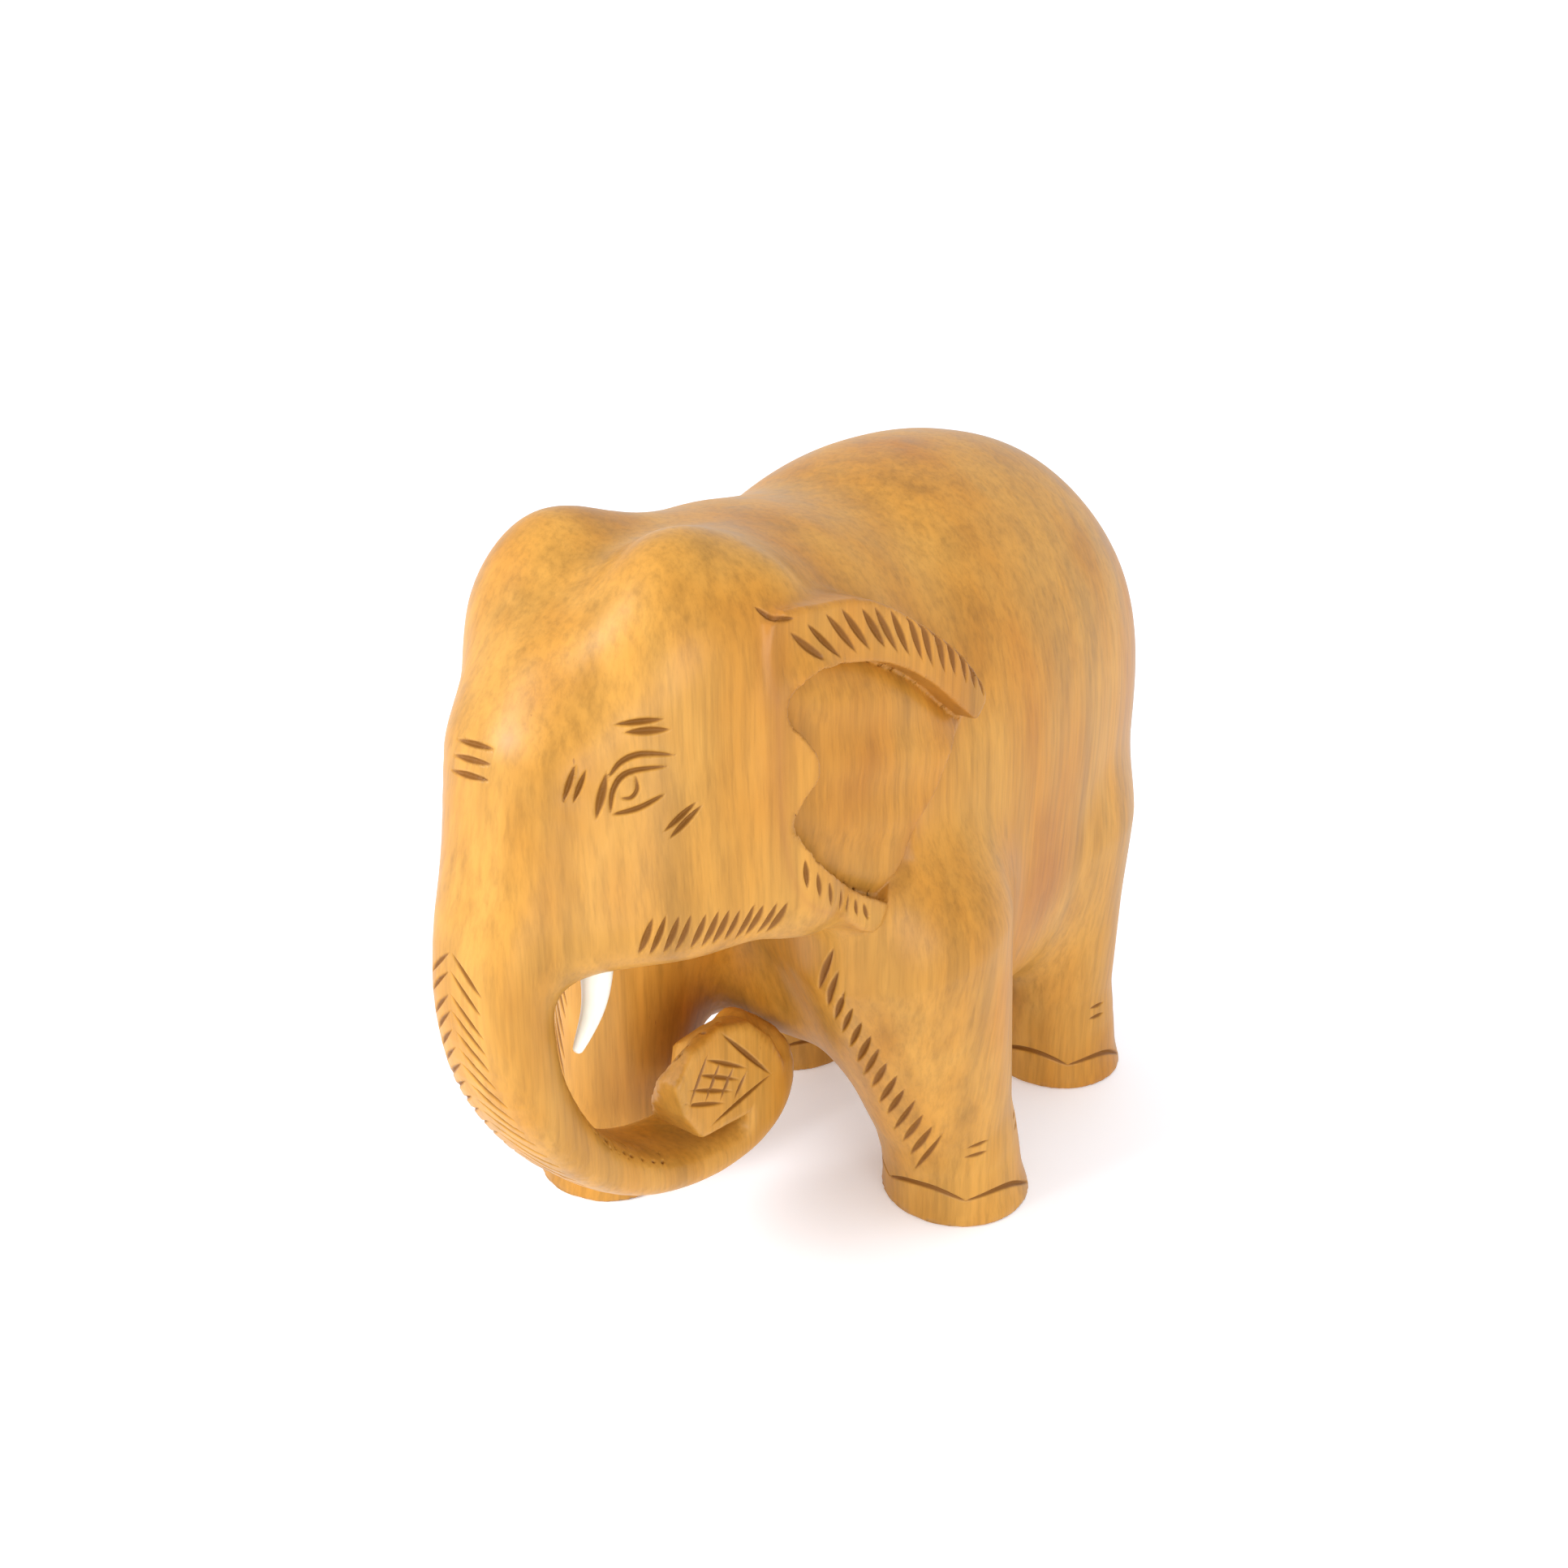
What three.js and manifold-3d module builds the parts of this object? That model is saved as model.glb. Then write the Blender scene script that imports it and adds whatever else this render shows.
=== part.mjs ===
// A small elephant carved from one block of pale hardwood, with two white tusks glued into drilled sockets.
// Millimetres. +Z is up, the elephant faces -Y and its left side is +X. The origin is on the ground,
// at the centre of the figure's bounding box.
import * as THREE from "three";
import { MarchingCubes } from "three/addons/objects/MarchingCubes.js";
import { mergeVertices } from "three/addons/utils/BufferGeometryUtils.js";
import Module from "manifold-3d";

const wasm = await Module();
wasm.setup();

// ---------------------------------------------------------------- sizes
// The face of the ear: how far forward or back, and how far out from the middle.
const EAR_FLARE = [[-50, 19], [-44, 20.5], [-38, 21.5], [-30, 23.3], [-20, 25.5], [-10, 27]];
const EAR_RECESS = 1.5; // how deep the middle of the ear is cut below its rim
const EAR_EDGE = [
  [-46, 86], [-40, 87], [-33, 86.2], [-24.7, 81.5], [-18.5, 76.6], [-15, 72], [-17, 69], [-20.5, 64.5],
  [-24.5, 60], [-27, 55], [-29.6, 51.8], [-32, 48], [-38, 52.7], [-44, 56.5], [-46, 64], [-46, 75],
];
const EAR_HOLLOW = [
  [-44, 77.5], [-38, 79.2], [-30.5, 78.7], [-24, 75.4], [-17.5, 69.8], [-12, 68], [-21, 52], [-26, 46],
  [-31, 52], [-39.5, 57.4], [-43.6, 62.5], [-43.6, 66], [-40.8, 69.7], [-42, 73],
];
const TUSK_ROOT = 1.9; // radius where the tusk leaves the wood
const TUSK_TIP = 0.55;
const GLUE = 0.3; // the gap round a tusk in its socket
const TUSK_LINE = [
  [6.9, -59.4, 60.5], [7.5, -60.5, 56], [7.8, -60.7, 51.5], [7.8, -61.6, 47.3], [7.6, -64, 43.4],
];
const TUSK_BURIED = 0.26; // the share of the tusk that is inside its socket
const SOCKET_END = 0.8; // the share of the tusk that the wood is cut back for, socket and trunk together
const SLOT_EDGE = [[-46, 20], [-32, 18.6], [-30, 19.6], [-31, 20.8], [-46, 21.4]];
const SLOT_WIDTH = 15;

// ---------------------------------------------------------------- field shapes
// Each returns a function of a point that is negative inside, in millimetres near the surface.

const radial = (x, y, z, power) =>
  Math.pow(Math.abs(x) ** power + Math.abs(y) ** power + Math.abs(z) ** power, 1 / power);

// A block with rounded sides: power 2 is an ellipsoid, and a higher power is squarer.
function boulder([cx, cy, cz], [rx, ry, rz], power = 2) {
  return (x, y, z) => {
    const dx = x - cx, dy = y - cy, dz = z - cz;
    const reach = Math.hypot(dx, dy, dz);
    const k = radial(dx / rx, dy / ry, dz / rz, power);
    return k < 1e-6 ? -Math.min(rx, ry, rz) : reach - reach / k;
  };
}

// A round limb from a to b, whose radius changes evenly from ra to rb. squash narrows it across X.
function limb(a, b, ra, rb, squash = 1) {
  const [ax, ay, az] = a, [bx, by, bz] = b;
  const ux = (bx - ax) / squash, uy = by - ay, uz = bz - az, span = ux * ux + uy * uy + uz * uz;
  return (x, y, z) => {
    const px = (x - ax) / squash, py = y - ay, pz = z - az;
    const t = Math.min(1, Math.max(0, (px * ux + py * uy + pz * uz) / span));
    return Math.hypot(px - t * ux, py - t * uy, pz - t * uz) - (ra + t * (rb - ra));
  };
}

// A band swept along a line in the YZ plane: rows of [y, z, half width across X, half depth].
function band(rows, power = 2.6) {
  return (x, y, z) => {
    let best = Infinity;
    for (let i = 1; i < rows.length; i++) {
      const [ay, az, aw, ad] = rows[i - 1], [by, bz, bw, bd] = rows[i];
      const uy = by - ay, uz = bz - az;
      const t = Math.min(1, Math.max(0, ((y - ay) * uy + (z - az) * uz) / (uy * uy + uz * uz)));
      const away = Math.hypot(y - ay - t * uy, z - az - t * uz);
      const w = aw + t * (bw - aw), d = ad + t * (bd - ad);
      const k = radial(x / w, away / d, 0, power);
      best = Math.min(best, (k - 1) * Math.min(w, d));
    }
    return best;
  };
}

// A block of flat faces with edges rounded to a radius. Each face is [nx, ny, nz, reach], and the block is
// the same on both sides of the middle, so nx works on the distance from it.
function block(faces, round) {
  const unit = faces.map(([nx, ny, nz, reach]) => {
    const size = Math.hypot(nx, ny, nz);
    return [nx / size, ny / size, nz / size, reach / size - round];
  });
  return (x, y, z) => {
    const across = Math.hypot(x, 2) - 2;
    let over = 0, most = -Infinity;
    for (const [nx, ny, nz, reach] of unit) {
      const out = nx * across + ny * y + nz * z - reach;
      if (out > 0) over += out * out;
      most = Math.max(most, out);
    }
    return (over > 0 ? Math.sqrt(over) : most) - round;
  };
}

const blend = (a, b, k) => {
  const h = Math.max(k - Math.abs(a - b), 0) / k;
  return Math.min(a, b) - (h * h * k) / 4;
};
const within = (a, b, k) => -blend(-a, -b, k);

// ---------------------------------------------------------------- the carving
const torso = boulder([0, 6, 52], [26, 40.5, 34], 3);
const hump = boulder([0, 8, 66], [22, 36, 29], 2.3);
const chest = boulder([0, -18, 44.4], [20, 18, 20.8], 2.2);
const breastSlope = (y, z) => -0.97 * (y + 24.5) - 0.24 * (z - 34); // the breast leans back under the neck
const neck = boulder([0, -27, 69], [20.5, 21, 23], 2.4);
const skull = block(
  [
    [1, 0, 0, 18.5],
    [0.8, -0.6, 0.15, 44.3 + 0.15 * 65],
    [0, -1, 0.12, 68 + 0.12 * 65],
    [0, -0.55, 0.83, 0.55 * 60 + 0.83 * 84],
    [0, 0, 1, 91],
    [0, 1, 0, -37],
    [0, 0, -1, -51.3],
  ],
  7,
);
const throat = block(
  [[1, 0, 0, 20.2], [0, 1, 0, -22], [0, -1, 0, 44], [0, 0, 1, 82], [0, -0.417, -1, -34.2]],
  5,
); // joins the head to the shoulders, behind the jaw and under the ears
const domes = [1, -1].map((side) => boulder([side * 8, -46.5, 83.6], [7.6, 9, 10.2], 2));
const trunk = band([
  [-60, 72, 8, 6],
  [-63.2, 63, 6.6, 5.2],
  [-67, 54, 6.2, 4.8],
  [-67.6, 46, 6.2, 4.4],
  [-65.8, 37.2, 6.2, 3.8],
  [-59.9, 27.1, 6.2, 3.2],
  [-51.2, 19.6, 6.2, 2.9],
  [-41.2, 15.5, 6.2, 2.8],
  [-31, 15.2, 6.2, 3],
]);
const curl = boulder([0, -32.2, 22.6], [6.4, 12.2, 10.8], 2.5);
const legs = [
  [limb([17, -18, 42], [20.5, -9, 8], 14, 8.2), limb([20.5, -8.6, 8], [21, -7.9, -1], 8.2, 10)],
  [limb([-17, -24, 42], [-19.5, -30, 8], 12.5, 8.1), limb([-19.5, -30, 8], [-19.5, -30.7, -1], 8.2, 10)],
  [limb([13, 24, 40], [16.5, 28, 8], 14, 8.4), limb([16.5, 28, 8], [17, 28.8, -1], 8.4, 10)],
  [limb([-13, 18, 40], [-17.5, 10, 8], 14, 8.4), limb([-17.5, 10, 8], [-18.3, 9.3, -1], 8.4, 10)],
];
const tail = limb([0, 46, 78], [0, 47, 34], 2.6, 2, 1);

function carving(x, y, z) {
  let body = blend(torso(x, y, z), hump(x, y, z), 8);
  body = blend(blend(body, chest(x, y, z), 6), neck(x, y, z), 6);
  body = within(body, breastSlope(y, z), 6);
  body = blend(body, throat(x, y, z), 4);
  for (const [thigh, foot] of legs) body = blend(body, blend(thigh(x, y, z), foot(x, y, z), 3), 5);
  let head = skull(x, y, z);
  for (const dome of domes) head = blend(head, dome(x, y, z), 6);
  const front = blend(head, Math.min(trunk(x, y, z), curl(x, y, z)), 5);
  const rear = blend(blend(body, head, 9), tail(x, y, z), 2);
  return blend(front, rear, 1);
}

// ---------------------------------------------------------------- field to solid
const REACH = 68; // half of the cube that the field is sampled in
const CELLS = 44;
const CENTRE = [0, -11, 49];

function polygonise(field) {
  const cubes = new MarchingCubes(CELLS, undefined, false, false, 40000);
  cubes.isolation = 0;
  const step = (2 * REACH) / CELLS;
  const at = (i, c) => (i - CELLS / 2) * step + c;
  for (let k = 0; k < CELLS; k++)
    for (let j = 0; j < CELLS; j++)
      for (let i = 0; i < CELLS; i++) {
        const value = -field(at(i, CENTRE[0]), at(j, CENTRE[1]), at(k, CENTRE[2]));
        cubes.setCell(i, j, k, Math.abs(value) < 0.03 ? (value < 0 ? -0.03 : 0.03) : value);
      }
  cubes.update();
  const corners = cubes.positionArray.slice(0, cubes.count * 3);
  const geometry = new THREE.BufferGeometry().setAttribute("position", new THREE.BufferAttribute(corners, 3));
  geometry.scale(REACH, REACH, REACH).translate(...CENTRE);
  return geometry;
}

function solidOf(geometry) {
  const bare = geometry.index ? geometry.toNonIndexed() : geometry.clone();
  bare.deleteAttribute("normal");
  bare.deleteAttribute("uv");
  const merged = mergeVertices(bare, 1e-3);
  const index = merged.index.array, kept = [];
  for (let i = 0; i < index.length; i += 3) {
    const [a, b, c] = index.slice(i, i + 3);
    if (a !== b && b !== c && c !== a) kept.push(a, b, c);
  }
  const vertProperties = merged.attributes.position.array;
  return new wasm.Manifold(new wasm.Mesh({ numProp: 3, vertProperties, triVerts: new Uint32Array(kept) }));
}

function geometryOf(solid) {
  const mesh = solid.getMesh();
  return new THREE.BufferGeometry()
    .setAttribute("position", new THREE.BufferAttribute(new Float32Array(mesh.vertProperties), 3))
    .setIndex(new THREE.BufferAttribute(new Uint32Array(mesh.triVerts), 1));
}

// A shape drawn in the side view, as [y, z] points round its edge, made into a slab out to one side.
function slab(points, side) {
  const curve = new THREE.CatmullRomCurve3(points.map(([y, z]) => new THREE.Vector3(y, z, 0)), true);
  const edge = curve.getSpacedPoints(44).slice(0, -1);
  const outline = new THREE.Shape(edge.map((p) => new THREE.Vector2(p.x, p.y)));
  const geometry = new THREE.ExtrudeGeometry(outline, { depth: 30, bevelEnabled: false });
  geometry.rotateX(Math.PI / 2).rotateZ(Math.PI / 2).translate(side > 0 ? 10 : -40, 0, 0);
  return solidOf(geometry);
}

const ground = new THREE.BoxGeometry(300, 300, 40).translate(0, 0, -20);
const plain = solidOf(polygonise(carving)).subtract(solidOf(ground));

// A block whose outer side is the face of an ear, sunk by so much.
function plate(side, sunk) {
  const face = EAR_FLARE.map(([y, x]) => [side * (x - sunk), y]);
  const corners = [[side * 10, -50], ...face, [side * 10, -10]];
  const plan = new THREE.Shape(corners.map(([x, y]) => new THREE.Vector2(x, y)));
  return solidOf(new THREE.ExtrudeGeometry(plan, { depth: 50, bevelEnabled: false }).translate(0, 0, 44));
}

function ear(side) {
  const hollowed = slab(EAR_HOLLOW, side).subtract(plate(side, EAR_RECESS));
  return slab(EAR_EDGE, side).intersect(plate(side, 0)).subtract(hollowed);
}

// The slot between the rolled tip of the trunk and the band of trunk below it.
function trunkSlot() {
  const outline = new THREE.Shape(SLOT_EDGE.map(([y, z]) => new THREE.Vector2(y, z)));
  const geometry = new THREE.ExtrudeGeometry(outline, { depth: SLOT_WIDTH, bevelEnabled: false });
  return solidOf(geometry.rotateX(Math.PI / 2).rotateZ(Math.PI / 2).translate(-SLOT_WIDTH / 2, 0, 0));
}

// A tusk is turned as a straight taper and then bent along its line. grow widens it, for the socket, and
// from and to are the shares of the line that it covers.
function tusk(side, grow, from, to) {
  const line = new THREE.CatmullRomCurve3(TUSK_LINE.map(([x, y, z]) => new THREE.Vector3(side * x, y, z)));
  const rings = 8, profile = [new THREE.Vector2(0, from)];
  for (let i = 0; i <= rings; i++) {
    const t = from + ((to - from) * i) / rings;
    const taper = Math.pow(Math.max(0, (t - TUSK_BURIED) / (1 - TUSK_BURIED)), 1.8);
    profile.push(new THREE.Vector2(TUSK_ROOT + (TUSK_TIP - TUSK_ROOT) * taper + grow, t));
  }
  profile.push(new THREE.Vector2(0, to));
  const geometry = new THREE.LatheGeometry(profile, 16);
  const spots = geometry.attributes.position;
  for (let i = 0; i < spots.count; i++) {
    const t = Math.min(1, Math.max(0, spots.getY(i)));
    const along = line.getTangentAt(t), across = new THREE.Vector3(1, 0, 0);
    const back = new THREE.Vector3().crossVectors(across, along).normalize();
    const spot = line.getPointAt(t);
    spot.addScaledVector(across, spots.getX(i)).addScaledVector(back, spots.getZ(i));
    spots.setXYZ(i, spot.x, spot.y, spot.z);
  }
  return solidOf(geometry);
}

let carved = plain.subtract(trunkSlot());
for (const side of [1, -1]) carved = carved.add(ear(side)).subtract(tusk(side, GLUE, 0, SOCKET_END));

const wood = new THREE.MeshStandardMaterial({ color: 0xc98f3f, roughness: 0.5, metalness: 0 });
const white = new THREE.MeshStandardMaterial({ color: 0xf4f1e4, roughness: 0.35, metalness: 0 });

const figure = new THREE.Group();
function piece(name, solid, material) {
  const mesh = new THREE.Mesh(geometryOf(solid), material);
  mesh.name = name;
  figure.add(mesh);
}
piece("carved_body", carved, wood);
piece("tusk_left", tusk(1, 0, 0.03, 1), white);
piece("tusk_right", tusk(-1, 0, 0.03, 1), white);

const middle = new THREE.Box3().setFromObject(figure).getCenter(new THREE.Vector3());
for (const mesh of figure.children) mesh.geometry.translate(-middle.x, -middle.y, 0);
export default figure;
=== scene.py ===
import bpy
import numpy as np
import openvdb
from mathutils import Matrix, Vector


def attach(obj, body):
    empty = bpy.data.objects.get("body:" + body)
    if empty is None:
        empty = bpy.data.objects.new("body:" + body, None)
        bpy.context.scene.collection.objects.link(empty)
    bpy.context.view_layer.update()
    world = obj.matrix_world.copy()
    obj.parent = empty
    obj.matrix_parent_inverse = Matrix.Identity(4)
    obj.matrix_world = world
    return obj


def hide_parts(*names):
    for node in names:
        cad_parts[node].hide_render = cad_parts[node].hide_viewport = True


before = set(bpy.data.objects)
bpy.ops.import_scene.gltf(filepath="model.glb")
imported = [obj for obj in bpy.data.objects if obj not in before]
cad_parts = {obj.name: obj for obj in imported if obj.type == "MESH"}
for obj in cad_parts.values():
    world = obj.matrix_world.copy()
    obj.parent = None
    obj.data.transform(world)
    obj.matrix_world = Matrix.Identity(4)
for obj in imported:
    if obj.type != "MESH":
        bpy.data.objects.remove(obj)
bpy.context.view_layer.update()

SHIFT = np.array([-0.71, 11.51, 0.0])  # from the carving's frame to the part's frame
CELL = 0.9  # size of the first mesh's cells


# ------------------------------------------------------------------ field shapes
# Each is negative inside, close to a distance in millimetres, for an array of points.
def boulder(p, centre, radii, power=2.0):
    d = p - np.array(centre)
    reach = np.sqrt((d * d).sum(1))
    k = (np.abs(d / np.array(radii)) ** power).sum(1) ** (1 / power)
    return reach - reach / np.maximum(k, 1e-6)


def limb(p, a, b, ra, rb):
    a = np.array(a)
    u = np.array(b) - a
    t = np.clip(((p - a) @ u) / (u @ u), 0, 1)
    d = p - a - t[:, None] * u
    return np.sqrt((d * d).sum(1)) - (ra + t * (rb - ra))


def band(p, rows, power=2.8):
    """A flattened bar on the middle plane, through rows of (y, z, half width, half thickness)."""
    best = np.full(len(p), 1e9)
    for (ay, az, aw, ad), (by, bz, bw, bd) in zip(rows, rows[1:]):
        u = np.array([by - ay, bz - az])
        q = p[:, 1:] - np.array([ay, az])
        t = np.clip((q @ u) / (u @ u), 0, 1)
        away = np.sqrt(((q - t[:, None] * u) ** 2).sum(1))
        w, d = aw + t * (bw - aw), ad + t * (bd - ad)
        k = ((np.abs(p[:, 0]) / w) ** power + (away / d) ** power) ** (1 / power)
        best = np.minimum(best, (k - 1) * np.minimum(w, d))
    return best


def block(p, faces, rounding):
    """A rounded block, alike on both sides, from faces of (normal x, y, z, distance)."""
    q = np.stack([np.sqrt(p[:, 0] ** 2 + 4) - 2, p[:, 1], p[:, 2]], 1)
    over, most = np.zeros(len(p)), np.full(len(p), -1e9)
    for nx, ny, nz, reach in faces:
        normal = np.array([nx, ny, nz])
        size = np.linalg.norm(normal)
        out = q @ normal / size - reach / size + rounding
        over += np.maximum(out, 0) ** 2
        most = np.maximum(most, out)
    return np.where(over > 0, np.sqrt(over), most) - rounding


def blend(a, b, k):
    """Joins two shapes, with a fillet about k wide."""
    h = np.maximum(k - np.abs(a - b), 0) / k
    return np.minimum(a, b) - h * h * k / 4


def within(a, b, k):
    """What two shapes share, with its edge rounded about k wide."""
    return -blend(-a, -b, k)


def outline_distance(y, z, points):
    """Signed distance in the side view to a closed outline, negative inside."""
    pts = np.array(points, float)
    q = np.stack([y, z], 1)
    best = np.full(len(q), 1e9)
    inside = np.zeros(len(q), bool)
    for a, b in zip(pts, np.roll(pts, -1, 0)):
        u = b - a
        d = q - a
        t = np.clip((d @ u) / (u @ u), 0, 1)
        best = np.minimum(best, ((d - t[:, None] * u) ** 2).sum(1))
        with np.errstate(divide="ignore", invalid="ignore"):
            crosses = ((a[1] > q[:, 1]) != (b[1] > q[:, 1])) & (
                q[:, 0] < (b[0] - a[0]) * (q[:, 1] - a[1]) / (b[1] - a[1]) + a[0]
            )
        inside ^= crosses
    return np.where(inside, -1, 1) * np.sqrt(best)


def rounded(points, steps=6, closed=True):
    """A Catmull-Rom line through the points, in any number of dimensions."""
    pts = np.array(points, float)
    n = len(pts)
    out = []
    for i in range(n if closed else n - 1):
        if closed:
            p0, p1, p2, p3 = (pts[(i + j) % n] for j in (-1, 0, 1, 2))
        else:
            p0, p1, p2, p3 = (pts[min(max(i + j, 0), n - 1)] for j in (-1, 0, 1, 2))
        for t in np.arange(steps) / steps:
            out.append(0.5 * (2 * p1 + (p2 - p0) * t + (2 * p0 - 5 * p1 + 4 * p2 - p3) * t**2
                              + (3 * p1 - p0 - 3 * p2 + p3) * t**3))
    if not closed:
        out.append(pts[-1])
    return np.array(out)


def step(low, high, x):
    """Goes smoothly from 0 at low to 1 at high."""
    t = np.clip((x - low) / (high - low), 0, 1)
    return t * t * (3 - 2 * t)


# ------------------------------------------------------------------ the carving
HEAD = [
    (1, 0, 0, 18.5),
    (0.8, -0.6, 0.15, 44.3 + 0.15 * 65),
    (0, -1, 0.12, 68 + 0.12 * 65),
    (0, -0.55, 0.83, 0.55 * 60 + 0.83 * 84),
    (0, 0, 1, 91),
    (0, 1, 0, -37),
    (0, 0, -1, -51.3),
]
THROAT = [(1, 0, 0, 20.2), (0, 1, 0, -22), (0, -1, 0, 44), (0, 0, 1, 82), (0, -0.417, -1, -34.2)]
TRUNK = rounded([
    (-60, 72, 8, 6),
    (-63.2, 63, 6.6, 5.2),
    (-67, 54, 6.2, 4.8),
    (-67.6, 46, 6.2, 4.4),
    (-65.8, 37.2, 6.2, 3.8),
    (-59.9, 27.1, 6.2, 3.2),
    (-51.2, 19.6, 6.2, 2.9),
    (-41.2, 15.5, 6.2, 2.8),
    (-32, 14.7, 6.2, 3),
    (-26.4, 17.2, 6.2, 3.3),
    (-25.4, 22, 5.6, 3.6),
    (-28.6, 26, 2.5, 3),
], 4, False)
TIP_SIDE = 6.3  # half the width of the rolled tip
TIP = [
    (-46.8, 29.2), (-43.6, 32.6), (-38.8, 33.8), (-33, 31.6), (-28.6, 27.4), (-26, 22.6), (-25, 18.5),
    (-27, 15.6), (-30.5, 14.6), (-33.2, 15.5), (-33.4, 18.8), (-42.4, 20.2), (-45.6, 25),
]
LEGS = [
    ((17, -18, 42), (20.5, -9, 8), (21, -7.9, -1), 14, 8.2),
    ((-17, -24, 42), (-19.5, -30, 8), (-19.5, -30.7, -1), 12.5, 8.1),
    ((13, 24, 40), (16.5, 28, 8), (17, 28.8, -1), 14, 8.4),
    ((-13, 18, 40), (-17.5, 10, 8), (-18.3, 9.3, -1), 14, 8.4),
]

EAR = rounded([
    (-46, 86), (-40, 87), (-33, 86.2), (-24.7, 81.5), (-18.5, 76.6), (-15, 72),
    (-16.8, 69), (-20.3, 65.2), (-21.9, 62.2), (-25, 59.6), (-26.6, 55.3), (-29.6, 51.8),
    (-32, 48), (-38, 52.7), (-44, 56.5), (-46, 64), (-46, 75),
], 3)
EAR_HOLLOW = rounded([
    (-44.4, 79), (-41.2, 80.6), (-36.2, 80.2), (-30.5, 78.9), (-24.4, 75.5), (-17.2, 69.6),
    (-10, 66), (-16, 54), (-26.5, 50.2), (-31.4, 52), (-39.3, 57.4), (-43.9, 62.8),
    (-44.4, 66.6), (-42.1, 70.1), (-43, 73.4), (-45, 76.4),
], 3)
# how far forward or back along the ear, and how far out its face is there
EAR_FLARE = ((-50, -46, -42, -38, -30, -20, -10), (17.8, 19.1, 20.4, 21.5, 23.3, 25.5, 27))


def where_near(p, low, high, field):
    """The field inside a box, and a large value outside it, where it can't matter."""
    out = np.full(len(p), 20.0)
    here = ((p > low) & (p < high)).all(1)
    if here.any():
        out[here] = field(p[here])
    return out


def trunk_tip(p):
    """The rolled tip: flat on its left side, with its top and its right side pared away towards the end."""
    x, y, z = p.T
    side = outline_distance(y, z, TIP)
    pared = TIP_SIDE + 0.5 * (z - 24)
    right = TIP_SIDE - pared * step(-31, -43, y)
    top = (z - 33.6 + 0.85 * (5 - x)) / 1.31
    flats = np.maximum(np.maximum(x - TIP_SIDE, -x - right), top)
    return within(side, flats, 0.8)


def ear(p):
    """The left ear, as a plate that flares outward to the rear."""
    x, y, z = p.T
    return within(outline_distance(y, z, EAR), np.maximum(x - np.interp(y, *EAR_FLARE), 10 - x), 0.7)


def ear_cuts(p):
    """What is cut away from the left ear: the hollow in its middle, and a slope behind its rear edge."""
    x, y, z = p.T
    face, edge = np.interp(y, *EAR_FLARE), outline_distance(y, z, EAR)
    hollow = outline_distance(y, z, EAR_HOLLOW)
    inward = np.minimum(hollow, 0)
    ripple = 0.2 * np.cos((z + 0.2 * (y + 32)) * 2 * np.pi / 7.2) * step(0, -5, hollow)
    under_rim = 0.6 * step(-42, -28, y) * step(62, 72, z) * np.exp(inward / 1.1)
    floor = face - 0.5 - 2.1 * np.exp(inward / 4.0) - under_rim - ripple
    away = np.maximum(edge, 0)
    # the slope fades out in front of the ear, and low down, where the shoulder is
    kept = 3 - 5.3 * step(-41, -31, y) + 4 * step(55, 47, z)
    slope = face + kept + 0.5 * away + 0.12 * away**2
    in_hollow = np.maximum(np.maximum(hollow, edge - 0.2), floor - x)
    behind = np.maximum(-edge, slope - x)
    return np.minimum(in_hollow, behind)


def carving(p):
    x, y, z = p.T
    body = blend(boulder(p, (0, 6, 52), (26, 40.5, 34), 3), boulder(p, (0, 8, 66), (22, 36, 29), 2.3), 8)
    body = blend(body, boulder(p, (0, -18, 44.4), (20, 18, 20.8), 2.2), 6)
    body = blend(body, boulder(p, (0, -27, 69), (20.5, 21, 23), 2.4), 6)
    body = within(body, -0.97 * (y + 24.5) - 0.24 * (z - 34), 6)
    body = blend(body, block(p, THROAT, 5), 4)
    for hip, ankle, sole, thick, thin in LEGS:
        leg = blend(limb(p, hip, ankle, thick, thin), limb(p, ankle, sole, thin, 10), 3)
        body = blend(body, leg, 5)
    head = block(p, HEAD, 7)
    for side in (1, -1):
        head = blend(head, boulder(p, (side * 8, -46.5, 83.6), (7.6, 9, 10.2)), 6)
    trunk = np.minimum(band(p, TRUNK), where_near(p, (-12, -53, 6), (12, -18, 40), trunk_tip))
    front = blend(head, trunk, 5)
    tail_top = limb(p, (0, 42.4, 78), (0, 46, 62), 2.6, 2.4)
    tail = np.minimum(tail_top, limb(p, (0, 46, 62), (0, 45.2, 35), 2.4, 2))
    rear = blend(blend(body, head, 9), tail, 2)
    out = np.stack([np.abs(x), y, z], 1)
    rear = blend(rear, where_near(out, (8, -50, 42), (32, -10, 92), ear), 0.8)
    whole = blend(front, rear, 1)
    whole = within(whole, -where_near(out, (12, -50, 40), (33, -6, 92), ear_cuts), 0.3)
    return within(whole, -z, 0.6)


def gradient(field, p, e=0.05):
    return np.stack([field(p + a) - field(p - a) for a in np.eye(3) * e], 1) / (2 * e)


def slope_of(field, p):
    g = gradient(field, p)
    return g / np.maximum(np.linalg.norm(g, axis=1, keepdims=True), 1e-6)


def settle(field, p, rounds=2):
    """Moves points onto the field's surface."""
    for _ in range(rounds):
        g = gradient(field, p)
        p = p - field(p)[:, None] * g / np.maximum((g * g).sum(1, keepdims=True), 1)
    return p


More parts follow.
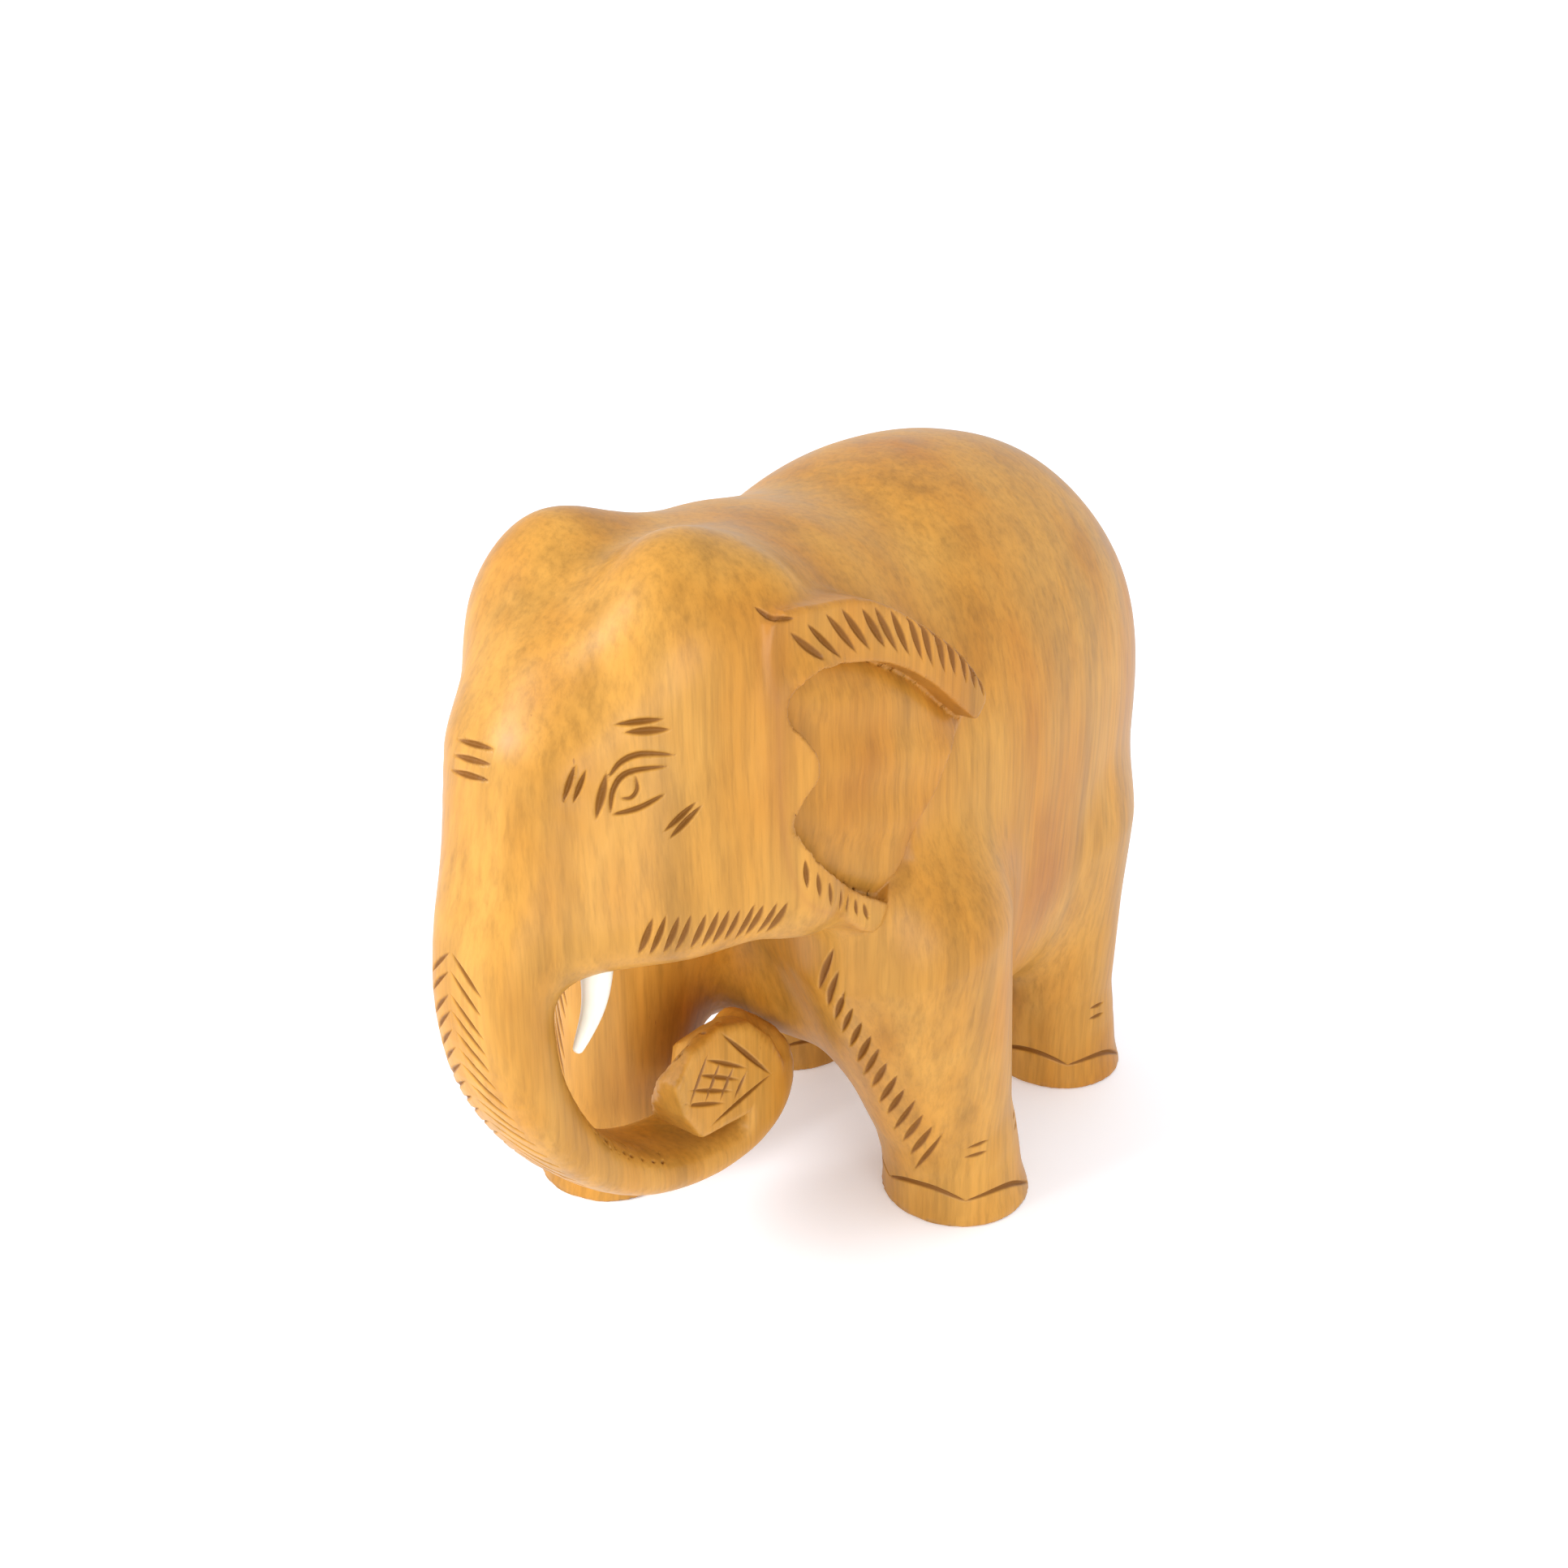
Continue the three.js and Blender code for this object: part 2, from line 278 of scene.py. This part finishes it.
# ------------------------------------------------------------------ first mesh
def first_mesh(field, low, high):
    counts = np.ceil((np.array(high) - np.array(low)) / CELL).astype(int)
    axes = [low[i] + CELL * np.arange(counts[i]) for i in range(3)]
    grid = np.stack(np.meshgrid(*axes, indexing="ij"), -1).reshape(-1, 3)
    values = np.concatenate([field(part) for part in np.array_split(grid, 12)])
    values = np.clip(values / CELL, -3, 3).astype(np.float32).reshape(counts)
    volume = openvdb.FloatGrid(3.0)
    volume.copyFromArray(values)
    points, quads = volume.convertToQuads(isovalue=0.0)
    points = np.array(points, float) * CELL + np.array(low)
    quads = np.array(quads)
    faces = np.concatenate([quads[:, [0, 1, 2]], quads[:, [0, 2, 3]]])
    a, b, c = (points[faces[:, i]] for i in range(3))
    if (np.cross(a, b) * c).sum() < 0:
        faces = faces[:, ::-1]
    return settle(field, points), faces


def refine(points, faces, near, longest):
    """Splits every edge near the carving that is longer than longest."""
    pairs = np.sort(np.concatenate([faces[:, [0, 1]], faces[:, [1, 2]], faces[:, [2, 0]]]), axis=1)
    edges, where = np.unique(pairs, axis=0, return_inverse=True)
    where = where.reshape(3, -1).T
    long = np.linalg.norm(points[edges[:, 0]] - points[edges[:, 1]], axis=1) > longest
    split = long & (near[edges[:, 0]] | near[edges[:, 1]])
    middle = np.full(len(edges), -1)
    middle[split] = len(points) + np.arange(split.sum())
    added = (points[edges[split, 0]] + points[edges[split, 1]]) / 2
    m = middle[where]
    cut = (m >= 0).sum(1)
    out = [faces[cut == 0]]
    for turn in range(3):
        f, n = np.roll(faces, -turn, 1), np.roll(m, -turn, 1)
        one = (cut == 1) & (n[:, 0] >= 0)
        a, b, c = f[one].T
        ab = n[one, 0]
        out += [np.stack([a, ab, c], 1), np.stack([ab, b, c], 1)]
        two = (cut == 2) & (n[:, 2] < 0)
        a, b, c = f[two].T
        ab, bc = n[two, 0], n[two, 1]
        out += [np.stack([a, ab, c], 1), np.stack([ab, bc, c], 1), np.stack([ab, b, bc], 1)]
    f, n = faces[cut == 3], m[cut == 3]
    out += [np.stack([f[:, 0], n[:, 0], n[:, 2]], 1), np.stack([n[:, 0], f[:, 1], n[:, 1]], 1),
            np.stack([n[:, 2], n[:, 1], f[:, 2]], 1), n]
    return np.concatenate([points, added]), np.concatenate(out), len(added)


# ------------------------------------------------------------------ gouges
# A cut is (points along it, half width, depth, bluntness of its ends): a V cut, deepest in its middle.
def gouge(a, b, width, depth):
    t = np.linspace(0, 1, 5)[:, None]
    return (np.array(a, float) * (1 - t) + np.array(b, float) * t, width, depth, 0.75)


def line_cut(points, width, depth):
    """A long cut along a bending line."""
    return (rounded(points, 5, False), width, depth, 0.45)


def mirrored(cuts):
    return cuts + [(cut[0] * np.array([-1, 1, 1]), *cut[1:]) for cut in cuts]


def share_along(line, t):
    """The point at a share t of the line's length."""
    lengths = np.concatenate([[0], np.cumsum(np.linalg.norm(np.diff(line, axis=0), axis=1))])
    return np.array([np.interp(t * lengths[-1], lengths, line[:, k]) for k in range(3)])


def row_of_gouges(starts, ends, count, width, depth, rng):
    """Gouges that run from one line to another, spread evenly and a little uneven as hand work is."""
    a, b = rounded(starts, 8, False), rounded(ends, 8, False)
    cuts = []
    for i in range(count):
        t = np.clip((i + rng.uniform(-0.1, 0.1)) / (count - 1), 0, 1)
        s, e = share_along(a, t), share_along(b, t)
        trim = (e - s) * rng.uniform(-0.1, 0.02)
        wide = width * rng.uniform(0.85, 1.15)
        deep = depth * rng.uniform(0.85, 1.1)
        cuts.append(gouge(s + trim, e - trim, wide, deep))
    return cuts


def cut_depth(p, n, cut):
    """How deep a cut is at each point, and how far outside it the point is, both along the surface."""
    pts, width, depth, blunt = cut
    best, place = np.full(len(p), 1e9), np.zeros(len(p))
    count = len(pts) - 1
    for i in range(count):
        a, u = pts[i], pts[i + 1] - pts[i]
        d = p - a
        d = d - (d * n).sum(1, keepdims=True) * n
        t = np.clip((d @ u) / (u @ u), 0, 1)
        off = np.sqrt(((d - t[:, None] * u) ** 2).sum(1))
        closer = off < best
        best, place = np.where(closer, off, best), np.where(closer, (i + t) / count, place)
    swell = np.sin(np.pi * np.clip(place, 0.02, 0.98)) ** blunt
    return depth * swell * np.maximum(0, 1 - best / (width * swell)), best - width


def side_rows(rng):
    """The rows of gouges on the left ear and jaw."""
    top_starts = [(20.4, -44.4, 85.1), (21.8, -36.5, 86), (24.4, -25, 82.6), (26, -17, 76.5)]
    top_ends = [(21.2, -39.8, 80.9), (22.9, -32, 81), (25, -22.5, 76.4), (26.1, -15.8, 72)]
    cuts = row_of_gouges(top_starts, top_ends, 14, 0.5, 0.55, rng)
    low_starts = [(21.8, -44.2, 61.4), (22.9, -40.8, 57.6), (22.4, -33.9, 52.6)]
    low_ends = [(21.9, -44, 58.2), (22.8, -39.9, 54.4), (22.6, -33, 50)]
    cuts += row_of_gouges(low_starts, low_ends, 7, 0.36, 0.45, rng)
    jaw_starts = [(13.8, -59, 58.6), (17.2, -52.5, 57.7), (19.6, -45, 57)]
    jaw_ends = [(12.6, -60, 54.9), (16.2, -53.8, 54), (18.6, -46.4, 53.4)]
    return cuts + row_of_gouges(jaw_starts, jaw_ends, 12, 0.5, 0.5, rng)


def marks_round_the_eye():
    marks = (
        ((10.4, -59.4, 78), (13.8, -55.9, 78.2), 0.42),
        ((11.1, -58.9, 77.2), (14.1, -55.4, 77.1), 0.5),
        ((8.7, -63.1, 74.8), (8.1, -64.5, 71), 0.4),
        ((9.5, -62.5, 74.2), (8.9, -63.9, 71), 0.36),
        ((10.8, -61, 73.8), (10.3, -62.4, 69.1), 0.55),
        ((15.9, -53.9, 69.6), (14.3, -57.2, 67.1), 0.42),
        ((16.3, -53.5, 69.2), (14.7, -56.9, 66.3), 0.42),
    )
    return [gouge(a, b, width, 0.5) for a, b, width in marks]


def eye():
    upper_lid = [(10.9, -60.9, 73.2), (11.5, -59.7, 74.5), (12.6, -58, 75), (14.4, -55.3, 74.5)]
    eyeball = [(11.2, -61.2, 69.8), (11.3, -60.7, 72), (12, -59.3, 73.4), (14, -56.1, 73.5)]
    lower_lid = [(11.3, -61, 69.5), (12.8, -58.9, 69.8), (14.1, -56.7, 70.8)]
    pupil = [(11.7, -60.2, 71), (12.3, -59.4, 70.9), (12.6, -58.8, 71.7), (12.4, -58.8, 73)]
    return [line_cut(upper_lid, 0.42, 0.42), line_cut(eyeball, 0.42, 0.45),
            line_cut(lower_lid, 0.38, 0.4), line_cut(pupil, 0.32, 0.32)]


def crease_before_the_ear():
    return [line_cut([(18, -46.5, 88), (19, -45.2, 86.5), (19.5, -43.5, 86.2)], 0.4, 0.5)]


def bridge_of_the_nose():
    return [gouge((-4.6, -65.6, z - 0.3), (1.4, -66.6, z + 0.3), 0.42, 0.5) for z in (75.4, 73.8, 72.2)]


def front_leg_rows(rng):
    left_starts = [(17.2, -31.7, 44.4), (21, -27.5, 30), (24.9, -19, 15.6)]
    left_ends = [(14.9, -30.8, 38.4), (17.6, -24.6, 23.5), (21, -18, 8.6)]
    right_starts = [(-22, -35.8, 46), (-25, -36, 30), (-26, -36.6, 15.6)]
    right_ends = [(-18.8, -36.8, 40), (-21, -37.4, 24), (-22, -38.6, 8.6)]
    left = row_of_gouges(left_starts, left_ends, 14, 0.5, 0.5, rng)
    return left + row_of_gouges(right_starts, right_ends, 13, 0.5, 0.5, rng)


def herringbone(rng):
    """Two rows down the front of the trunk that meet on a line a little to the right of its middle."""
    spine = [(0.3, -71.8, 55.3), (0.3, -72.1, 48), (0.3, -68.5, 35),
             (0.3, -61.5, 24.3), (0.3, -52.5, 17), (0.3, -42, 13)]
    edge = [(4.1, -71.7, 51.8), (4.1, -71.2, 42.5), (5.4, -65.2, 30.4),
            (5.4, -56.6, 19.6), (5.4, -46.4, 13.4), (5.4, -36, 11.4)]
    to_the_right = np.array([-1.2, 0, 0])
    rows = mirrored(row_of_gouges(spine, edge, 27, 0.34, 0.38, rng))
    return [(cut[0] + to_the_right, *cut[1:]) for cut in rows]


def foot_lines(x, y, turn):
    """Short marks round the ankle, and a scalloped line of toenails round the outer front of the foot."""
    side = np.sign(x)
    cuts = []
    for z in (13, 11.3):
        for start in (-58, 6):
            spots = []
            for angle in (start, start + 22):
                a = np.radians(angle) + turn
                spots.append(np.array([x + side * 8.9 * np.cos(a), y + 8.9 * np.sin(a), z]))
            cuts.append(gouge(*spots, 0.4, 0.35))
    for start, end, low, high in ((-188, -120, 1.6, 4.1), (-120, -52, 4.1, 4.1), (-52, 27, 4.1, 1.2)):
        arc = []
        for k in np.linspace(0, 1, 7):
            a = np.radians(start + (end - start) * k)
            z = low + (high - low) * k + 1.9 * np.sin(np.pi * k)
            arc.append((x + side * 9.4 * np.cos(a), y + 9.4 * np.sin(a), z))
        cuts.append(line_cut(arc, 0.5, 0.5))
    return cuts


def tip_lattice():
    """The cross-hatched diamond on the flat left side of the rolled trunk tip."""
    x = TIP_SIDE - 0.1
    cuts = [gouge((x, -38.9, 33), (x, -29, 22.2), 0.42, 0.5)]
    cuts.append(gouge((x, -28.8, 22.4), (x, -41.3, 21.4), 0.42, 0.5))
    for k in range(4):
        across = (x, -42 - 1.5 * k, 31 - 1.3 * k), (x, -33.8 - 1.45 * k, 25.6 - 0.85 * k)
        down = (x, -41.2 + 2.4 * k, 31.6 - 2.1 * k), (x, -45 + 2.8 * k, 26 - 1.1 * k)
        cuts += [gouge(*across, 0.38, 0.36), gouge(*down, 0.42, 0.42)]
    return cuts


def all_cuts():
    rng = np.random.default_rng(7)
    cuts = mirrored(side_rows(rng) + marks_round_the_eye())
    cuts += bridge_of_the_nose() + front_leg_rows(rng) + herringbone(rng)
    for x, y, turn in ((21, -7.9, 0), (-19.5, -30.7, 0), (17, 28.8, 0.4), (-18.3, 9.3, 0.4)):
        cuts += foot_lines(x, y, turn)
    cuts += mirrored(eye() + crease_before_the_ear()) + tip_lattice()
    return [(settle(carving, cut[0], 4), *cut[1:]) for cut in cuts]


# ------------------------------------------------------------------ round the ears
def ear_edges(p):
    """How near the edges of the ears and of their hollows are."""
    near = np.full(len(p), 99.0)
    x, y, z = p.T
    here = (np.abs(x) > 11) & (y > -50) & (y < -9) & (z > 44) & (z < 91)
    y, z = y[here], z[here]
    edge, hollow = (outline_distance(y, z, line) for line in (EAR, EAR_HOLLOW))
    near[here] = np.minimum(np.abs(edge), np.where(edge < 0.6, np.abs(hollow), 99))
    return near


# ------------------------------------------------------------------ the wooden body
def carve(p, n, cuts):
    """How deep the wood is cut at each point, and how near the closest cut is."""
    total, near = np.zeros(len(p)), np.full(len(p), 99.0)
    for cut in cuts:
        low, high = cut[0].min(0) - 2.5, cut[0].max(0) + 2.5
        here = np.where(((p > low) & (p < high)).all(1))[0]
        if len(here):
            deep, off = cut_depth(p[here], n[here], cut)
            total[here] = np.maximum(total[here], deep)
            near[here] = np.minimum(near[here], off)
    return total, near


def wooden_body():
    points, faces = first_mesh(carving, (-33, -76, -2), (34, 52, 99))
    cuts = all_cuts()
    for reach, longest in ((1.6, 0.75), (0.6, 0.38), (0.12, 0.2)):
        n = slope_of(carving, points)
        near = np.minimum(carve(points, n, cuts)[1], ear_edges(points) - 0.2)
        points, faces, added = refine(points, faces, near < reach, longest)
        points[-added:] = settle(carving, points[-added:], 1)
    n = slope_of(carving, points)
    depth, _ = carve(points, n, cuts)
    edge = ear_edges(points)
    points = points - n * depth[:, None]
    points[:, 2] = np.maximum(points[:, 2], 0)
    # cut: how deep each point lies in a gouge, from 0 to 1; the wood material paints shade into the gouges
    # with it and makes them rougher
    cut = np.clip(depth / 0.45, 0, 1)
    # the last value marks where the ears' edges and their hollows' walls are near; the wood material paints
    # shade there with it
    return points, faces, cut, np.exp(-edge / 0.5) * (edge < 5)


def mesh_object(name, points, faces, attributes, material):
    mesh = bpy.data.meshes.new(name)
    mesh.from_pydata(((points + SHIFT) / 1000).tolist(), [], faces.tolist())
    mesh.polygons.foreach_set("use_smooth", np.ones(len(faces), bool))
    for key, values in attributes.items():
        layer = mesh.attributes.new(key, "FLOAT", "POINT")
        layer.data.foreach_set("value", np.asarray(values, np.float32))
    mesh.materials.append(material)
    mesh.update()
    thing = bpy.data.objects.new(name, mesh)
    bpy.context.scene.collection.objects.link(thing)
    return thing


# ------------------------------------------------------------------ materials
class Nodes:
    """A small helper that adds and links shader nodes."""

    def __init__(self, name):
        self.material = bpy.data.materials.new(name)
        self.material.use_nodes = True
        self.tree = self.material.node_tree
        self.shader = self.tree.nodes["Principled BSDF"]

    def add(self, kind, values=(), **settings):
        node = self.tree.nodes.new(kind)
        for key, value in settings.items():
            setattr(node, key, value)
        for key, value in dict(values).items():
            if isinstance(value, bpy.types.NodeSocket):
                self.tree.links.new(value, node.inputs[key])
            else:
                node.inputs[key].default_value = value
        return node

    def noise(self, place, scale, stretch, detail=3.0, rough=0.55, seed=(0, 0, 0)):
        spot = self.add("ShaderNodeMapping", {"Vector": place, "Scale": stretch, "Location": seed})
        return self.add("ShaderNodeTexNoise", {"Vector": spot.outputs[0], "Scale": scale, "Detail": detail,
                                               "Roughness": rough}).outputs["Fac"]

    def ramp(self, fac, *stops):
        node = self.add("ShaderNodeValToRGB", {"Fac": fac})
        elements = node.color_ramp.elements
        while len(elements) < len(stops):
            elements.new(0.5)
        for element, (spot, color) in zip(elements, stops):
            element.position = spot
            element.color = (*color, 1) if len(color) == 3 else color
        return node.outputs["Color"]

    def mix(self, fac, a, b, mode="MIX"):
        node = self.add("ShaderNodeMix", data_type="RGBA", blend_type=mode)
        for socket, value in ((node.inputs[0], fac), (node.inputs[6], a), (node.inputs[7], b)):
            if isinstance(value, bpy.types.NodeSocket):
                self.tree.links.new(value, socket)
            else:
                socket.default_value = value if isinstance(value, float) else (*value, 1)
        return node.outputs[2]

    def calculate(self, operation, a, b):
        node = self.add("ShaderNodeMath", operation=operation)
        for socket, value in zip(node.inputs, (a, b)):
            if isinstance(value, bpy.types.NodeSocket):
                self.tree.links.new(value, socket)
            else:
                socket.default_value = value
        return node.outputs[0]


def grey(v):
    return (v, v, v)


def wood_material():
    m = Nodes("honey_wood")
    place = m.add("ShaderNodeTexCoord").outputs["Object"]
    patches = m.noise(place, 42, (1, 1, 0.5), 4, 0.55)
    broad = m.noise(place, 230, (1, 1, 0.07), 4, 0.6, (3, 1, 0))
    fine = m.noise(place, 1300, (1, 1, 0.05), 3, 0.7, (7, 2, 0))
    color = m.ramp(patches, (0.3, (0.40, 0.15, 0.012)), (0.42, (0.47, 0.205, 0.024)),
                   (0.56, (0.51, 0.25, 0.042)), (0.68, (0.44, 0.19, 0.02)))
    streaks = m.ramp(broad, (0.3, grey(0.7)), (0.52, grey(1.0)), (0.75, grey(1.14)))
    color = m.mix(0.8, color, streaks, "MULTIPLY")
    grain = m.ramp(fine, (0.3, grey(0.72)), (0.55, grey(1.0)), (0.8, grey(1.1)))
    color = m.mix(0.7, color, grain, "MULTIPLY")
    pores = m.noise(place, 1500, (1, 1, 0.35), 2, 0.5, (1, 9, 4))
    color = m.mix(m.ramp(pores, (0.765, grey(0.0)), (0.80, grey(0.6))), color, (0.25, 0.1, 0.02))
    cut = m.add("ShaderNodeAttribute", attribute_name="cut").outputs["Fac"]
    edge = m.add("ShaderNodeAttribute", attribute_name="edge").outputs["Fac"]
    # painted shade: the wood is darkened towards brown along the edges of the ears and the walls of their
    # hollows
    color = m.mix(m.calculate("MULTIPLY", edge, 0.35), color, (0.36, 0.14, 0.03))
    # painted shade: the inside of every gouge is painted dark brown, the deepest cuts darkest
    color = m.mix(m.ramp(cut, (0.06, grey(0.0)), (0.42, grey(0.88))), color, (0.19, 0.068, 0.006))
    rough = m.ramp(broad, (0.3, grey(0.36)), (0.7, grey(0.48)))
    links = m.tree.links
    links.new(color, m.shader.inputs["Base Color"])
    links.new(m.mix(cut, rough, grey(0.75)), m.shader.inputs["Roughness"])
    m.shader.inputs["Specular IOR Level"].default_value = 0.24
    m.shader.inputs["Coat Weight"].default_value = 0.1
    m.shader.inputs["Coat Roughness"].default_value = 0.28
    tool_marks = m.noise(place, 420, (1, 1, 0.5), 3, 0.5, (2, 2, 2))
    bumps = m.calculate("ADD", m.calculate("MULTIPLY", fine, 0.5), tool_marks)
    bump = m.add("ShaderNodeBump", {"Height": bumps, "Strength": 0.35, "Distance": 0.00006})
    links.new(bump.outputs[0], m.shader.inputs["Normal"])
    return m.material


def tusk_material():
    m = Nodes("white_tusk")
    place = m.add("ShaderNodeTexCoord").outputs["Object"]
    shade = m.noise(place, 300, (1, 1, 0.3), 3, 0.5)
    color = m.ramp(shade, (0.3, (0.72, 0.68, 0.57)), (0.7, (0.79, 0.77, 0.69)))
    m.tree.links.new(color, m.shader.inputs["Base Color"])
    m.tree.links.new(m.ramp(shade, (0.3, grey(0.28)), (0.7, grey(0.36))), m.shader.inputs["Roughness"])
    m.shader.inputs["Subsurface Weight"].default_value = 0.15
    m.shader.inputs["Subsurface Scale"].default_value = 0.001
    return m.material


def floor_material():
    m = Nodes("white_floor")
    m.shader.inputs["Base Color"].default_value = (0.89, 0.92, 0.99, 1)
    m.shader.inputs["Roughness"].default_value = 0.6
    m.shader.inputs["Emission Color"].default_value = (0.95, 0.97, 1, 1)
    m.shader.inputs["Emission Strength"].default_value = 0.25
    return m.material


# ------------------------------------------------------------------ tusks
TUSK_LINE = [
    (6.9, -59.4, 60.5), (7.5, -60.5, 56), (7.8, -60.7, 51.5), (7.8, -61.6, 47.3), (7.6, -64, 43.4),
]
TUSK_ROOT = 1.9  # radius where the tusk leaves the wood
TUSK_TAPER = 1.45  # how much thinner its tip is
TUSK_SIDES = 40


def tusk(side, name, material):
    line = rounded(TUSK_LINE, 12, False) * np.array([side, 1, 1])
    points, faces = [], []
    last = len(line) - 1
    for i, spot in enumerate(line):
        t = i / last
        along = line[min(i + 1, last)] - line[max(i - 1, 0)]
        along /= np.linalg.norm(along)
        back = np.cross((1, 0, 0), along)
        back /= np.linalg.norm(back)
        across = np.cross(along, back)
        r = TUSK_ROOT - TUSK_TAPER * max(0, (t - 0.3) / 0.7) ** 1.7
        if i == last:
            r *= 0.65  # a worn edge round the tip
        for k in range(TUSK_SIDES):
            a = 2 * np.pi * k / TUSK_SIDES
            points.append(spot + r * (np.cos(a) * across + 0.94 * np.sin(a) * back))
    for i in range(last):
        for k in range(TUSK_SIDES):
            a, b = i * TUSK_SIDES + k, i * TUSK_SIDES + (k + 1) % TUSK_SIDES
            faces.append((a, b, b + TUSK_SIDES, a + TUSK_SIDES))
    faces.append(tuple(range(TUSK_SIDES))[::-1])
    faces.append(tuple(last * TUSK_SIDES + k for k in range(TUSK_SIDES)))
    mesh = bpy.data.meshes.new(name)
    mesh.from_pydata([tuple((p + SHIFT) / 1000) for p in points], [], faces)
    for poly in mesh.polygons[:-2]:
        poly.use_smooth = True
    mesh.materials.append(material)
    thing = bpy.data.objects.new(name, mesh)
    bpy.context.scene.collection.objects.link(thing)
    return thing


# ------------------------------------------------------------------ stage
def stage():
    half = 12.0
    corners = [(-half, -half, 0), (half, -half, 0), (half, half, 0), (-half, half, 0)]
    mesh = bpy.data.meshes.new("floor")
    mesh.from_pydata(corners, [], [(0, 1, 2, 3)])
    mesh.materials.append(floor_material())
    floor = bpy.data.objects.new("floor", mesh)
    bpy.context.scene.collection.objects.link(floor)


def soft_light(name, place, target, size, power):
    light = bpy.data.lights.new(name, "AREA")
    light.shape = "DISK"
    light.size = size
    light.energy = power
    thing = bpy.data.objects.new(name, light)
    thing.location = place
    thing.rotation_euler = (Vector(target) - Vector(place)).to_track_quat("-Z", "Y").to_euler()
    bpy.context.scene.collection.objects.link(thing)


def lights():
    middle = (0, 0, 0.05)
    soft_light("key", (-0.30, -0.60, 0.44), middle, 0.30, 4.6)
    soft_light("side", (0.55, -0.40, 0.12), middle, 0.40, 2.05)
    world = bpy.data.worlds.new("studio")
    world.use_nodes = True
    tree = world.node_tree
    height = tree.nodes.new("ShaderNodeSeparateXYZ")
    tree.links.new(tree.nodes.new("ShaderNodeTexCoord").outputs["Generated"], height.inputs[0])
    fade = tree.nodes.new("ShaderNodeMapRange")  # bright all round, dimmer overhead
    tree.links.new(height.outputs["Z"], fade.inputs["Value"])
    for key, value in {"From Min": 0.1, "From Max": 1, "To Min": 1.1, "To Max": 0.85}.items():
        fade.inputs[key].default_value = value
    tree.nodes["Background"].inputs["Color"].default_value = (1, 1, 1, 1)
    tree.links.new(fade.outputs[0], tree.nodes["Background"].inputs["Strength"])
    bpy.context.scene.world = world


def camera():
    data = bpy.data.cameras.new("camera")
    data.sensor_width = 36
    data.lens = 36
    data.clip_start = 0.01
    thing = bpy.data.objects.new("camera", data)
    eye = np.array([105.2, -162.6, 128.2]) + SHIFT
    target = np.array([-15.77, 3.93, 45]) + SHIFT
    thing.location = eye / 1000
    thing.rotation_euler = Vector(target - eye).to_track_quat("-Z", "Y").to_euler()
    bpy.context.scene.collection.objects.link(thing)
    bpy.context.scene.camera = thing


# ------------------------------------------------------------------ build
camera()
lights()
stage()
bpy.context.scene.view_settings.view_transform = "Standard"
wood = wood_material()
white = tusk_material()
points, faces, cut, edge = wooden_body()
body = mesh_object("elephant_body", points, faces, {"cut": cut, "edge": edge}, wood)
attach(body, "root")
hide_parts("carved_body")
for side, name, node in ((1, "left_tusk", "tusk_left"), (-1, "right_tusk", "tusk_right")):
    horn = tusk(side, name, white)
    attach(horn, "root")
    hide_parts(node)
